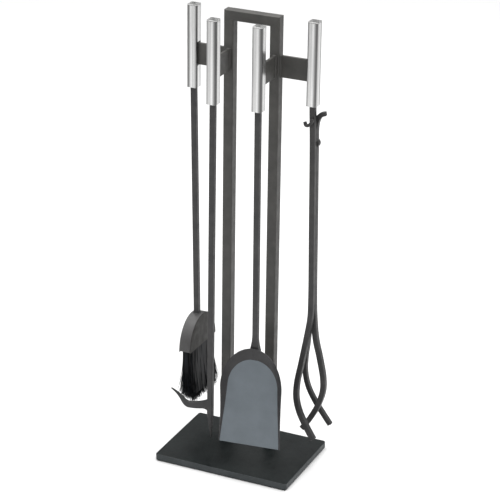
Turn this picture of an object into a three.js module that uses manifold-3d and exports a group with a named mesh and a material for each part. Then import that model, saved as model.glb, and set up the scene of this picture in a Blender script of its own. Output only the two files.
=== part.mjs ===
// Fireplace tool set: a floor stand with a tall hoop, and a brush, a poker, a shovel and tongs that
// hang on four flat arms. Millimetres, +Z up, the origin on the floor under the centre of the base.
import * as THREE from 'three';
import { mergeVertices } from 'three/addons/utils/BufferGeometryUtils.js';
import Module from 'manifold-3d';

const wasm = await Module();
wasm.setup();

// ---- driving dimensions ----
const GAP = 0.3; // play between pieces that touch

const BASE_W = 254;
const BASE_D = 178;
const BASE_TOP = 13;
const BASE_BOTTOM = 1.5;
const BASE_CORNER_R = 5;
const PAD_INSET = 2;

const HEIGHT = 813;
const TUBE = 17.6;
const TUBE_WALL = 1.5;
const TUBE_CORNER_R = 1.6;
const HOOP_W = 101.6; // over the outsides of the uprights
const HOOP_Y = 30; // the hoop stands behind the middle of the base

const BOLT_R = 3;
const BOLT_PLAY = 0.4;
const HEX_KEY_R = 2.6;
const HEX_KEY_DEPTH = 2.5;
const BOLT_HEAD_R = 5.5;
const BOLT_HEAD_H = 4;
const BOLT_TOP = 27;
const PLUG_TOP = 31;

const ARM_T = 5.5;
const ARM_TOP = 746;
const ARM_BOTTOM = 708;
const ARM_INSERT = 6.5; // how far an arm reaches into a handle
const SIDE_REACH = 59.2; // upright face to the middle of a side handle
const SHOVEL_SHIFT = -1.5; // the shovel hangs a little to one side of its arm
const FRONT_REACH = 57.2; // upright face to the middle of a front handle

const HANDLE = 18.2;
const HANDLE_WALL = 1.5;
const HANDLE_CORNER_R = 2.4;
const HANDLE_BOTTOM = 667;
const SOCKET_PLAY = 0.6; // lets the leaning rod pass the socket
const CAP_T = 1.6;
const CAP_PLUG_H = 6;
const WINDOW_W = 12;
const SOCKET_H = 17;

const ROD = 9.6;
const ROD_CORNER = 0.9;
const ROD_TOP = 690;
const LEAN_BRUSH = 0.95; // degrees, the tools hang slightly out of plumb
const LEAN_POKER = -0.2;
const LEAN_SHOVEL = 0.18;

const HOOD_T = 22;
const HOOD_HALF = 52.5;
const HOOD_BOTTOM = 187;
const HOOD_H = 58;
const BLOCK_PLAY = 0.5;
const BLOCK_LOW = 4; // the block starts this far above the hood's mouth
const BLOCK_HIGH = 40;
const SCREW_R = 2;
const SCREW_HEAD_R = 4.5;
const SCREW_HEAD_H = 3.5;
const SCREW_LENGTH = 18;
const SCREW_PLAY = 0.4;
const SCREW_BORE = 14; // depth of the tapped hole in the brush rod
const HOOD_WALL = 1.6;
const BRISTLE_TOP = HOOD_BOTTOM + 3.5;
const BRISTLE_BOTTOM = 84;
const BRISTLE_FRONT = 50; // reach of the tips in front of the rod, and behind it
const BRISTLE_BACK = 66;
const BRISTLE_SPREAD = 8; // how much thicker the tuft is at its tips

const POKER_TIP = 39.5;
const POKER_TIP_SHARE = 0.14; // width of the blunt point over the rod's width
const POKER_TIP_SHIFT = 1.5; // the point is drawn to one side
const TAPER_TOP = 87.4;
const HOOK_Z = 108;
const HOOK_TURN = 15; // degrees, the hook points to the left and a little forwards
const HOOK_T = 7.4;
const HOOK_ROOT_PLAY = 1.4;
const HOOK_NECK = 37.5; // length of the level neck, from the rod's middle
const HOOK_DEPTH = 11;
const HOOK_REACH = 70.5;
const HOOK_RISE = 24;

const PAN_TURN = 6.8; // degrees, the pan hangs turned about its rod
const PAN_LIP_Z = 61.5;
const PAN_LIP_FORWARD = 31.5;
const PAN_TOP_Z = 216;
const PAN_TOP_FORWARD = 6.7;
const PAN_LIP_HALF = 54.3;
const PAN_SIDE_HALF = 47;
const PAN_SIDE_V = 105;
const PAN_SHEET = 1.5;
const PAN_LIP_FLARE = 2;
const PAN_FLARE = 7;
const PAN_END_FLARE = 21;
const PAN_LIP_RISE = 1;
const PAN_RISE = 10;
const PAN_END_RISE = 7;
const BRACKET_T = 1.4;
const SHOVEL_ROD_LOW = 212;
const BRACKET_W = 16;
const BRACKET_NECK = 9;
const BRACKET_BOTTOM = 231;
const BRACKET_SHOULDER = 238;
const BRACKET_TOP = 247;
const BRACKET_PLAY = 0.9; // lets the turned bracket clear the square rod

const PIVOT_Z = 598.5;
const PIVOT_R = 2.5;
const PIVOT_PLAY = 0.1;
const EYE_R = 8;

const PIVOT_X = 112.2;
const EYE_INSET = 0.3;
const RIVET_HEAD_R = 5;
const RIVET_TAIL = 3; // how far the rivet's shank and head stand behind the moving bar
const RIVET_HEAD_LOW = 1.6;
const RIVET_HEAD_HIGH = 4;
const WASHER_R = 6;
const WASHER_TOP = 1.3;
const BAR_SPACE = 0.6; // between the fixed bar and the moving bar
const MAIN_Y = HOOP_Y;
const SWING_Y = MAIN_Y + ROD + BAR_SPACE;

// the bent bars of the tongs, as [x, y, z] points on their middle lines
const FIXED_BAR_PATH = [
  [110, 30, 690], [110.2, 30, 664], [112, 30, 605], [114.4, 30, 450], [116.4, 30, 310],
  [115.8, 29.5, 280], [110.9, 27.5, 243], [105.4, 20, 198], [100.9, 12, 158], [102, 8, 132],
  [110, 4.5, 108], [124, 2, 84], [139, 0, 62],
];
const REAR_PRONG = 8.4;
const REAR_PRONG_PATH = [
  [108.9, 39.2, 240], [106.7, 42, 224], [102, 46, 196], [100, 50, 164], [105, 54, 134],
  [118, 57, 106], [133, 60, 82], [145, 62, 64],
];
const SWING_BAR_PATH = [
  [130, SWING_Y, 652.5], [124.5, SWING_Y, 651], [118.3, SWING_Y, 646], [114, SWING_Y, 637.5],
  [112, SWING_Y, 624], [PIVOT_X, SWING_Y, PIVOT_Z], [114.4, SWING_Y, 450], [116.6, SWING_Y, 310],
  [118.3, SWING_Y, 275], [123.8, 38, 236], [132.4, 36, 205], [141.5, 33, 166], [141.3, 33, 142],
  [133, 32.5, 113], [118, 31.5, 83], [105, 30, 63],
];
const FINGER_REST = 5;
const FINGER_REST_CORNER = 1.2;
const FINGER_REST_PATH = [
  [113.6, 22.4, 646], [111.2, 21.6, 639.5], [107, 20.6, 634.5], [102, 21, 634], [99.4, 22.4, 639],
];

// ---- derived values ----
const UPRIGHT_X = (HOOP_W - TUBE) / 2;
const HOOP_FRONT = HOOP_Y - TUBE / 2;
const SIDE_X = HOOP_W / 2 + SIDE_REACH;
const FRONT_Y = HOOP_FRONT - FRONT_REACH;
const HANDLE_TOP = HEIGHT - CAP_T - GAP;

// ---- materials ----
const powderCoat = new THREE.MeshStandardMaterial({ color: 0x2c2d2b, roughness: 0.55, metalness: 0.3 });
const forgedSteel = new THREE.MeshStandardMaterial({ color: 0x3f3f40, roughness: 0.6, metalness: 0.4 });
const panSteel = new THREE.MeshStandardMaterial({ color: 0x4a5056, roughness: 0.5, metalness: 0.4 });
const stainless = new THREE.MeshStandardMaterial({ color: 0xbfbfbd, roughness: 0.3, metalness: 1 });
const zincSteel = new THREE.MeshStandardMaterial({ color: 0x8f9396, roughness: 0.4, metalness: 0.9 });
const rubber = new THREE.MeshStandardMaterial({ color: 0x151515, roughness: 0.9, metalness: 0 });
const blockPlastic = new THREE.MeshStandardMaterial({ color: 0x1c1c1d, roughness: 0.7, metalness: 0 });
const bristleFibre = new THREE.MeshStandardMaterial({ color: 0x101113, roughness: 0.85, metalness: 0 });

// ---- helpers ----
const radians = THREE.MathUtils.degToRad;

function mesh(name, geometry, material) {
  const result = new THREE.Mesh(geometry, material);
  result.name = name;
  return result;
}

function toSolid(geometry) {
  const bare = geometry.clone();
  bare.deleteAttribute('normal');
  bare.deleteAttribute('uv');
  const merged = mergeVertices(bare, 1e-4);
  const vertProperties = new Float32Array(merged.attributes.position.array);
  const triVerts = new Uint32Array(merged.index.array);
  return new wasm.Manifold(new wasm.Mesh({ numProp: 3, vertProperties, triVerts }));
}

function fromSolid(solid) {
  const data = solid.getMesh();
  const geometry = new THREE.BufferGeometry();
  geometry.setAttribute('position', new THREE.BufferAttribute(new Float32Array(data.vertProperties), 3));
  geometry.setIndex(new THREE.BufferAttribute(new Uint32Array(data.triVerts), 1));
  return geometry;
}

function join(first, ...others) {
  return fromSolid(others.reduce((solid, other) => solid.add(toSolid(other)), toSolid(first)));
}

function cut(first, ...others) {
  return fromSolid(others.reduce((solid, other) => solid.subtract(toSolid(other)), toSolid(first)));
}

function warp(geometry, move) {
  const position = geometry.attributes.position;
  const point = new THREE.Vector3();
  for (let i = 0; i < position.count; i += 1) {
    point.fromBufferAttribute(position, i);
    move(point);
    position.setXYZ(i, point.x, point.y, point.z);
  }
  return geometry;
}

function roundedRect(width, depth, radius) {
  const x = width / 2;
  const y = depth / 2;
  const shape = new THREE.Shape();
  shape.moveTo(-x + radius, -y);
  shape.lineTo(x - radius, -y);
  shape.absarc(x - radius, -y + radius, radius, -Math.PI / 2, 0);
  shape.lineTo(x, y - radius);
  shape.absarc(x - radius, y - radius, radius, 0, Math.PI / 2);
  shape.lineTo(-x + radius, y);
  shape.absarc(-x + radius, y - radius, radius, Math.PI / 2, Math.PI);
  shape.lineTo(-x, -y + radius);
  shape.absarc(-x + radius, -y + radius, radius, Math.PI, 1.5 * Math.PI);
  return shape;
}

function chamferedSquare(side, chamfer) {
  const a = side / 2;
  const b = a - chamfer;
  const corners = [[b, -a], [a, -b], [a, b], [b, a], [-b, a], [-a, b], [-a, -b], [-b, -a]];
  return new THREE.Shape(corners.map(([x, y]) => new THREE.Vector2(x, y)));
}

function prism(shape, low, high, curveSegments = 3, steps = 1) {
  const geometry = new THREE.ExtrudeGeometry(shape, {
    depth: high - low, bevelEnabled: false, curveSegments, steps,
  });
  return geometry.translate(0, 0, low);
}

function squareTube(side, wall, radius, low, high) {
  const shape = roundedRect(side, side, radius);
  const inner = Math.max(radius - wall, 0.6);
  shape.holes.push(roundedRect(side - 2 * wall, side - 2 * wall, inner));
  return prism(shape, low, high, 2);
}

function block(width, depth, low, high) {
  return new THREE.BoxGeometry(width, depth, high - low).translate(0, 0, (low + high) / 2);
}

function disc(radius, low, high, sides = 24) {
  return new THREE.CylinderGeometry(radius, radius, high - low, sides)
    .rotateX(Math.PI / 2)
    .translate(0, 0, (low + high) / 2);
}

// a bar of constant section bent along a smooth curve through the given points
function bentBar(points, section, steps) {
  const path = new THREE.CatmullRomCurve3(points.map((p) => new THREE.Vector3(...p)), false, 'centripetal');
  return new THREE.ExtrudeGeometry(section, { extrudePath: path, steps, bevelEnabled: false });
}

// an outline drawn in the XZ plane, given a thickness along Y
function plateInXZ(shape, thickness, curveSegments = 6) {
  return new THREE.ExtrudeGeometry(shape, { depth: thickness, bevelEnabled: false, curveSegments })
    .translate(0, 0, -thickness / 2)
    .rotateX(Math.PI / 2);
}

function at(object, x, y, z = 0) {
  object.position.set(x, y, z);
  return object;
}

// ---- stand ----
function basePlate() {
  const shape = roundedRect(BASE_W, BASE_D, BASE_CORNER_R);
  const tools = [];
  for (const side of [-1, 1]) {
    const hole = disc(BOLT_R + BOLT_PLAY, BASE_BOTTOM - 1, BASE_TOP + 1);
    tools.push(hole.translate(side * UPRIGHT_X, HOOP_Y, 0));
    const bore = disc(BOLT_HEAD_R + BOLT_PLAY, BASE_BOTTOM - 1, BASE_BOTTOM + BOLT_HEAD_H + 2 * BOLT_PLAY);
    tools.push(bore.translate(side * UPRIGHT_X, HOOP_Y, 0));
  }
  return mesh('base_plate', cut(prism(shape, BASE_BOTTOM, BASE_TOP, 4), ...tools), powderCoat);
}

// one thin rubber sheet under the whole base, which also covers the bolt heads
function basePad() {
  const shape = roundedRect(BASE_W - 2 * PAD_INSET, BASE_D - 2 * PAD_INSET, BASE_CORNER_R - PAD_INSET);
  return mesh('base_pad', prism(shape, 0, BASE_BOTTOM - GAP, 4), rubber);
}

// the mitred corner makes each upright's outer side taller than its inner side
function upright(name, side) {
  const middle = HEIGHT - TUBE / 2;
  const tube = squareTube(TUBE, TUBE_WALL, TUBE_CORNER_R, BASE_TOP + GAP, middle);
  warp(tube, (p) => {
    if (p.z > middle - 1) p.z += side * p.x - GAP;
  });
  return at(mesh(name, tube, powderCoat), side * UPRIGHT_X, HOOP_Y);
}

function topBar() {
  const half = UPRIGHT_X;
  const tube = squareTube(TUBE, TUBE_WALL, TUBE_CORNER_R, -half, half);
  warp(tube, (p) => {
    p.z -= Math.sign(p.z) * p.x;
  });
  tube.rotateY(Math.PI / 2);
  return at(mesh('top_bar', tube, powderCoat), 0, HOOP_Y, HEIGHT - TUBE / 2);
}

function uprightPlug(name, side) {
  const width = TUBE - 2 * TUBE_WALL - 2 * GAP;
  const plug = cut(block(width, width, BASE_TOP + GAP, PLUG_TOP), disc(BOLT_R + GAP, 0, PLUG_TOP + 1));
  return at(mesh(name, plug, zincSteel), side * UPRIGHT_X, HOOP_Y);
}

function frameBolt(name, side) {
  const headLow = BASE_BOTTOM + BOLT_PLAY;
  const head = disc(BOLT_HEAD_R, headLow, headLow + BOLT_HEAD_H);
  const shank = disc(BOLT_R, headLow + 1, BOLT_TOP);
  const hexKey = disc(HEX_KEY_R, headLow - 1, headLow + HEX_KEY_DEPTH, 6);
  return at(mesh(name, cut(join(head, shank), hexKey), zincSteel), side * UPRIGHT_X, HOOP_Y);
}

// A flat bar on edge. Past the handle's face both edges climb at 45 degrees, so a handle rests on
// the upturned tip and comes off when it is moved outwards and up along that slope.
function arm(name, reach) {
  const face = reach - HANDLE / 2;
  const tip = face + ARM_INSERT;
  const shape = new THREE.Shape();
  shape.moveTo(GAP, ARM_BOTTOM);
  shape.lineTo(face, ARM_BOTTOM);
  shape.lineTo(tip, ARM_BOTTOM + ARM_INSERT);
  shape.lineTo(tip, ARM_TOP + ARM_INSERT);
  shape.lineTo(face, ARM_TOP);
  shape.lineTo(GAP, ARM_TOP);
  return mesh(name, plateInXZ(shape, ARM_T), powderCoat);
}

function stand() {
  const group = new THREE.Group();
  group.add(basePlate(), basePad(), topBar());
  for (const [word, side] of [['left', -1], ['right', 1]]) {
    group.add(upright(`upright_${word}`, side));
    group.add(uprightPlug(`upright_plug_${word}`, side));
    group.add(frameBolt(`frame_bolt_${word}`, side));
  }
  const brushArm = at(arm('arm_brush', SIDE_REACH), -HOOP_W / 2, HOOP_Y);
  brushArm.rotation.z = Math.PI;
  const tongsArm = at(arm('arm_tongs', SIDE_REACH), HOOP_W / 2, HOOP_Y);
  const pokerArm = at(arm('arm_poker', FRONT_REACH), -UPRIGHT_X, HOOP_FRONT);
  pokerArm.rotation.z = -Math.PI / 2;
  const shovelArm = at(arm('arm_shovel', FRONT_REACH), UPRIGHT_X, HOOP_FRONT);
  shovelArm.rotation.z = -Math.PI / 2;
  group.add(brushArm, tongsArm, pokerArm, shovelArm);
  return group;
}

// ---- handles: a square tube with a window in the wall that faces the arm ----
function handle(tool, facing) {
  const tube = squareTube(HANDLE, HANDLE_WALL, HANDLE_CORNER_R, HANDLE_BOTTOM, HANDLE_TOP);
  const windowLow = ARM_BOTTOM - 1.2;
  const windowHigh = ARM_TOP + HANDLE_WALL + GAP;
  const window = block(HANDLE, WINDOW_W, windowLow, windowHigh).translate(HANDLE / 2, 0, 0);
  const inside = HANDLE - 2 * HANDLE_WALL - 2 * GAP;
  const lid = prism(roundedRect(HANDLE, HANDLE, HANDLE_CORNER_R), HEIGHT - CAP_T, HEIGHT, 2);
  const lidPlug = block(inside, inside, HEIGHT - CAP_T - CAP_PLUG_H, HEIGHT - CAP_T + 0.5);
  const socketTop = HANDLE_BOTTOM + SOCKET_H;
  const holeSection = chamferedSquare(ROD + 2 * SOCKET_PLAY, ROD_CORNER);
  const socketHole = prism(holeSection, HANDLE_BOTTOM - 1, socketTop + 1);
  const socket = cut(block(inside, inside, HANDLE_BOTTOM + GAP, socketTop), socketHole);
  const group = new THREE.Group();
  group.add(mesh(`${tool}_handle`, cut(tube, window), stainless));
  group.add(mesh(`${tool}_handle_cap`, join(lid, lidPlug), stainless));
  group.add(mesh(`${tool}_handle_socket`, socket, zincSteel));
  group.rotation.z = facing;
  return group;
}

// everything below a handle, in a group that leans about the handle's lower end
function leaning(degrees, ...parts) {
  const group = new THREE.Group();
  group.position.set(0, 0, HANDLE_BOTTOM);
  group.rotation.y = -radians(degrees);
  for (const part of parts) {
    part.position.z -= HANDLE_BOTTOM;
    group.add(part);
  }
  return group;
}

// ---- brush ----
function archShape(half, height, bottom) {
  const shape = new THREE.Shape();
  shape.moveTo(-half, bottom);
  shape.lineTo(half, bottom);
  shape.absellipse(0, bottom, half, height, 0, Math.PI, false, 0);
  return shape;
}

function hood() {
  const outer = plateInXZ(archShape(HOOD_HALF, HOOD_H, HOOD_BOTTOM), HOOD_T, 20);
  const innerShape = archShape(HOOD_HALF - HOOD_WALL, HOOD_H - HOOD_WALL, HOOD_BOTTOM - 0.01);
  const inner = plateInXZ(innerShape, HOOD_T - 2 * HOOD_WALL, 20);
  const mouth = block(2 * (HOOD_HALF - HOOD_WALL), HOOD_T - 2 * HOOD_WALL, HOOD_BOTTOM - 1, HOOD_BOTTOM + 1);
  const screwHole = disc(SCREW_R + SCREW_PLAY, HOOD_BOTTOM, HOOD_BOTTOM + HOOD_H + 2);
  return mesh('brush_hood', cut(outer, inner, mouth, screwHole).rotateZ(Math.PI / 2), forgedSteel);
}

function brushBlock() {
  const play = HOOD_WALL + BLOCK_PLAY;
  const shape = archShape(HOOD_HALF - play, HOOD_H - play, HOOD_BOTTOM);
  const solid = plateInXZ(shape, HOOD_T - 2 * play, 16);
  const trimTop = block(2 * HOOD_HALF, HOOD_T, HOOD_BOTTOM + BLOCK_HIGH, HOOD_BOTTOM + HOOD_H + 1);
  const trimBottom = block(2 * HOOD_HALF, HOOD_T, HOOD_BOTTOM - 1, HOOD_BOTTOM + BLOCK_LOW);
  return mesh('brush_block', cut(solid, trimTop, trimBottom).rotateZ(Math.PI / 2), blockPlastic);
}

// the tuft spreads towards its tips, more at the back than at the front
function bristles() {
  const root = HOOD_HALF - 5;
  const neck = HOOD_BOTTOM - 10;
  const shape = new THREE.Shape();
  shape.moveTo(-root, BRISTLE_TOP);
  shape.lineTo(-root, neck);
  shape.lineTo(-BRISTLE_FRONT, BRISTLE_BOTTOM + 28);
  shape.quadraticCurveTo(-BRISTLE_FRONT + 4, BRISTLE_BOTTOM + 2, -BRISTLE_FRONT + 26, BRISTLE_BOTTOM);
  shape.lineTo(BRISTLE_BACK - 8, BRISTLE_BOTTOM);
  shape.quadraticCurveTo(BRISTLE_BACK, BRISTLE_BOTTOM + 4, BRISTLE_BACK, BRISTLE_BOTTOM + 16);
  shape.lineTo(root, neck);
  shape.lineTo(root, BRISTLE_TOP);
  const solid = plateInXZ(shape, 1, 4);
  const rootWidth = HOOD_T - 2 * HOOD_WALL - 1.4;
  warp(solid, (p) => {
    const spread = THREE.MathUtils.clamp((BRISTLE_TOP - p.z) / (BRISTLE_TOP - BRISTLE_BOTTOM - 16), 0, 1);
    p.y *= rootWidth + BRISTLE_SPREAD * spread;
  });
  return mesh('brush_bristles', solid.rotateZ(Math.PI / 2), bristleFibre);
}

function brushScrew() {
  const low = HOOD_BOTTOM + HOOD_H - HOOD_WALL - 5;
  const head = disc(SCREW_HEAD_R, low, low + SCREW_HEAD_H);
  const shank = disc(SCREW_R, low + 1, low + SCREW_LENGTH);
  return mesh('brush_screw', join(head, shank), zincSteel);
}

function brush() {
  const rodLow = HOOD_BOTTOM + HOOD_H + GAP;
  const bore = disc(SCREW_R + SCREW_PLAY, rodLow - 1, rodLow + SCREW_BORE);
  const rod = cut(prism(chamferedSquare(ROD, ROD_CORNER), rodLow, ROD_TOP), bore);
  const group = new THREE.Group();
  const lower = [mesh('brush_rod', rod, forgedSteel), hood(), brushBlock(), bristles(), brushScrew()];
  group.add(handle('brush', 0), leaning(LEAN_BRUSH, ...lower));
  return at(group, -SIDE_X, HOOP_Y);
}

// ---- poker ----
function pokerRod() {
  const rod = prism(chamferedSquare(ROD, ROD_CORNER), POKER_TIP, ROD_TOP, 1, 14);
  warp(rod, (p) => {
    const taper = THREE.MathUtils.clamp((p.z - POKER_TIP) / (TAPER_TOP - POKER_TIP), 0, 1);
    const scale = POKER_TIP_SHARE + (1 - POKER_TIP_SHARE) * taper;
    p.x = p.x * scale + POKER_TIP_SHIFT * (1 - taper);
    p.y *= scale;
  });
  return mesh('poker_rod', rod, forgedSteel);
}

// a flat forged hook: a level neck, then a long tip that climbs and narrows
function pokerHook() {
  const root = ROD / 2 + HOOK_ROOT_PLAY;
  const shape = new THREE.Shape();
  shape.moveTo(root, HOOK_Z + 6);
  shape.quadraticCurveTo(root + 8, HOOK_Z + 2.5, HOOK_NECK, HOOK_Z);
  shape.quadraticCurveTo(HOOK_NECK + 6, HOOK_Z + 1, HOOK_NECK + 11, HOOK_Z + 8);
  shape.lineTo(HOOK_REACH - 1, HOOK_Z + HOOK_RISE);
  shape.lineTo(HOOK_REACH, HOOK_Z + HOOK_RISE - 1);
  shape.lineTo(HOOK_NECK + 16, HOOK_Z + 3);
  shape.quadraticCurveTo(HOOK_NECK + 10, HOOK_Z - 9, HOOK_NECK + 3, HOOK_Z - HOOK_DEPTH);
  shape.quadraticCurveTo(HOOK_NECK / 2, HOOK_Z - HOOK_DEPTH - 1, root + 4, HOOK_Z - HOOK_DEPTH + 1);
  shape.lineTo(root, HOOK_Z - HOOK_DEPTH - 3);
  const hook = mesh('poker_hook', plateInXZ(shape, HOOK_T, 5), forgedSteel);
  hook.rotation.z = Math.PI + radians(HOOK_TURN);
  return hook;
}

function poker() {
  const group = new THREE.Group();
  group.add(handle('poker', Math.PI / 2), leaning(LEAN_POKER, pokerRod(), pokerHook()));
  return at(group, -UPRIGHT_X, FRONT_Y);
}

// ---- shovel ----
const panLength = Math.hypot(PAN_TOP_Z - PAN_LIP_Z, PAN_LIP_FORWARD - PAN_TOP_FORWARD);

// half width of the floor, half width of the rim, and the rim's shift along and out of the floor
function panStation(row, sideRows, archRows) {
  if (row <= sideRows) {
    const v = (PAN_SIDE_V * row) / sideRows;
    const share = (v / PAN_SIDE_V) ** 1.6;
    const floor = THREE.MathUtils.lerp(PAN_LIP_HALF, PAN_SIDE_HALF, v / PAN_SIDE_V);
    const rim = floor + PAN_LIP_FLARE + PAN_FLARE * share;
    return { floor, floorV: v, rim, rimV: v, rise: PAN_LIP_RISE + PAN_RISE * share };
  }
  const angle = ((row - sideRows) / archRows) * radians(86);
  const archLength = panLength - PAN_SIDE_V;
  const rimLength = archLength + PAN_END_FLARE;
  return {
    floor: PAN_SIDE_HALF * Math.cos(angle),
    floorV: PAN_SIDE_V + archLength * Math.sin(angle),
    rim: (PAN_SIDE_HALF + PAN_LIP_FLARE + PAN_FLARE) * Math.cos(angle),
    rimV: PAN_SIDE_V + rimLength * Math.sin(angle),
    rise: THREE.MathUtils.lerp(PAN_LIP_RISE + PAN_RISE, PAN_END_RISE, Math.sin(angle) ** 2),
  };
}

// A sheet-metal scoop made from a box: its columns become rim, floor edge, floor edge and rim, its
// rows run from the lip over the arched end, and the last row closes the end wall.
function pan() {
  const sideRows = 4;
  const archRows = 8;
  const rows = sideRows + archRows + 1;
  const sheet = new THREE.BoxGeometry(3, rows, 1, 3, rows, 1);
  warp(sheet, (p) => {
    const column = Math.round(p.x + 1.5);
    const row = Math.round(p.y + rows / 2);
    const back = p.z < 0 ? PAN_SHEET : 0;
    const side = column < 2 ? -1 : 1;
    const isRim = column === 0 || column === 3;
    const s = panStation(Math.min(row, rows - 1), sideRows, archRows);
    let u = isRim ? s.rim : s.floor;
    let v = isRim ? s.rimV : s.floorV;
    let w = isRim ? s.rise : 0;
    if (row === rows) {
      u = isRim ? s.rim * 0.8 : s.rim * 0.35;
      v = s.rimV + (isRim ? 0.35 : 0.5);
      w = s.rise;
    }
    p.set(side * u, v, w - back);
  });
  const result = mesh('shovel_pan', sheet, panSteel);
  const lipToTop = new THREE.Vector3(0, PAN_LIP_FORWARD - PAN_TOP_FORWARD, PAN_TOP_Z - PAN_LIP_Z);
  result.rotation.x = Math.atan2(lipToTop.z, lipToTop.y);
  result.position.set(0, -PAN_LIP_FORWARD, PAN_LIP_Z);
  return result;
}

// the small wedge that joins the rod's front face to the back of the pan's end wall
function panBracket() {
  const half = BRACKET_W / 2;
  const narrow = BRACKET_NECK / 2;
  const shape = new THREE.Shape();
  shape.moveTo(-half, BRACKET_BOTTOM);
  shape.lineTo(half, BRACKET_BOTTOM);
  shape.lineTo(half, BRACKET_SHOULDER);
  shape.lineTo(narrow, BRACKET_TOP);
  shape.lineTo(-narrow, BRACKET_TOP);
  shape.lineTo(-half, BRACKET_SHOULDER);
  const bracket = mesh('shovel_bracket', plateInXZ(shape, BRACKET_T), forgedSteel);
  return at(bracket, 0, -ROD / 2 - BRACKET_PLAY - BRACKET_T / 2);
}

function shovel() {
  const section = chamferedSquare(ROD, ROD_CORNER);
  const rod = mesh('shovel_rod', prism(section, SHOVEL_ROD_LOW, ROD_TOP), forgedSteel);
  const head = new THREE.Group();
  head.rotation.z = radians(PAN_TURN);
  head.add(pan(), panBracket());
  const group = new THREE.Group();
  group.add(handle('shovel', Math.PI / 2), leaning(LEAN_SHOVEL, rod, head));
  return at(group, UPRIGHT_X + SHOVEL_SHIFT, FRONT_Y);
}

// ---- tongs ----
// the fixed bar runs from the handle into the front prong
function fixedBar() {
  const bar = bentBar(FIXED_BAR_PATH, chamferedSquare(ROD, ROD_CORNER), 44);
  const hole = disc(PIVOT_R + GAP, -20, 20).rotateX(Math.PI / 2).translate(PIVOT_X, MAIN_Y, PIVOT_Z);
  return mesh('tongs_fixed_bar', cut(bar, hole), forgedSteel);
}

function rearProng() {
  const section = chamferedSquare(REAR_PRONG, ROD_CORNER);
  return mesh('tongs_rear_prong', bentBar(REAR_PRONG_PATH, section, 24), forgedSteel);
}

// the moving bar: thumb lever at the top, pivot eye, long shank and the single prong
function swingBar() {
  const bar = bentBar(SWING_BAR_PATH, chamferedSquare(ROD, ROD_CORNER), 56);
  const eye = disc(EYE_R, -ROD / 2 + EYE_INSET, ROD / 2 - EYE_INSET)
    .rotateX(Math.PI / 2).translate(PIVOT_X, SWING_Y, PIVOT_Z);
  const hole = disc(PIVOT_R + PIVOT_PLAY, -20, 20).rotateX(Math.PI / 2).translate(PIVOT_X, SWING_Y, PIVOT_Z);
  return mesh('tongs_swing_bar', cut(join(bar, eye), hole), forgedSteel);
}

function pivotRivet() {
  const back = SWING_Y + ROD / 2;
  const shank = disc(PIVOT_R, MAIN_Y - ROD / 2 + GAP, back + RIVET_TAIL);
  const head = disc(RIVET_HEAD_R, back + RIVET_HEAD_LOW, back + RIVET_HEAD_HIGH);
  const rivet = join(shank, head).rotateX(-Math.PI / 2);
  return at(mesh('tongs_pivot_rivet', rivet, zincSteel), PIVOT_X, 0, PIVOT_Z);
}

function pivotWasher() {
  const back = SWING_Y + ROD / 2;
  const hole = disc(PIVOT_R + GAP, back - 1, back + WASHER_TOP + 1);
  const ring = cut(disc(WASHER_R, back + GAP, back + WASHER_TOP), hole);
  return at(mesh('tongs_pivot_washer', ring.rotateX(-Math.PI / 2), zincSteel), PIVOT_X, 0, PIVOT_Z);
}

// a small curled rest for the forefinger on the front of the fixed bar
function fingerHook() {
  const section = chamferedSquare(FINGER_REST, FINGER_REST_CORNER);
  return mesh('tongs_finger_hook', bentBar(FINGER_REST_PATH, section, 14), forgedSteel);
}

function tongs() {
  const top = handle('tongs', Math.PI);
  at(top, SIDE_X, HOOP_Y);
  const group = new THREE.Group();
  group.add(top, fixedBar(), rearProng(), fingerHook(), swingBar(), pivotRivet(), pivotWasher());
  return group;
}

const toolSet = new THREE.Group();
toolSet.add(stand(), brush(), poker(), shovel(), tongs());

export default toolSet;
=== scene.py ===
"""Looks for the fireplace tool set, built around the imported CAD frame. Metres, +Z up.

Shapes are worked out in millimetres and scaled when they become objects.
"""

import math
import random

import bmesh
import bpy
from mathutils import Matrix, Vector, noise


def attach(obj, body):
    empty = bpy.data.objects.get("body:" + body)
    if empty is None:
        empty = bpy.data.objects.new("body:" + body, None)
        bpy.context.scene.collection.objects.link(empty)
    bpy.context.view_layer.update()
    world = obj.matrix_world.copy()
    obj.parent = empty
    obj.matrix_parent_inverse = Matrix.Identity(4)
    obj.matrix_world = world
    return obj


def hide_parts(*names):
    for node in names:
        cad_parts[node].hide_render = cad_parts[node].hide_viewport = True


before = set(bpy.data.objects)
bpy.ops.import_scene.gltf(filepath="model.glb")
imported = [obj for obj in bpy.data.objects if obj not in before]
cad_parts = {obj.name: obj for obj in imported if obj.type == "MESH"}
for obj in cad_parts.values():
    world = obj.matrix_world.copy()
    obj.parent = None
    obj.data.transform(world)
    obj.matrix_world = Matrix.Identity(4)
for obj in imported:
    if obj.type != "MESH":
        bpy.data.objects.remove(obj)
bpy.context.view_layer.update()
scene = bpy.context.scene

MM = 0.001

# ---- stand ----
BASE_W, BASE_D, BASE_TOP, BASE_BOTTOM, BASE_CORNER_R, BASE_EDGE_R = 254, 178, 13, 1.5, 5, 1.1
PAD_INSET = 2
HEIGHT = 813
TUBE, TUBE_R = 17.6, 1.6
UPRIGHT_X, HOOP_Y = 42, 30
HOOP_FRONT = HOOP_Y - TUBE / 2
ARM_T, ARM_TOP, ARM_BOTTOM, ARM_INSERT, ARM_SINK = 5.5, 746, 708, 6.5, 1
SIDE_REACH, FRONT_REACH, SHOVEL_SHIFT = 59.2, 57.2, -1.5
WELD_R = 1.5
MITRE_GROOVE, MITRE_NEAR, MITRE_FAR = 0.3, 0.25, 0.7  # the dressed weld across a corner of the hoop

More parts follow.
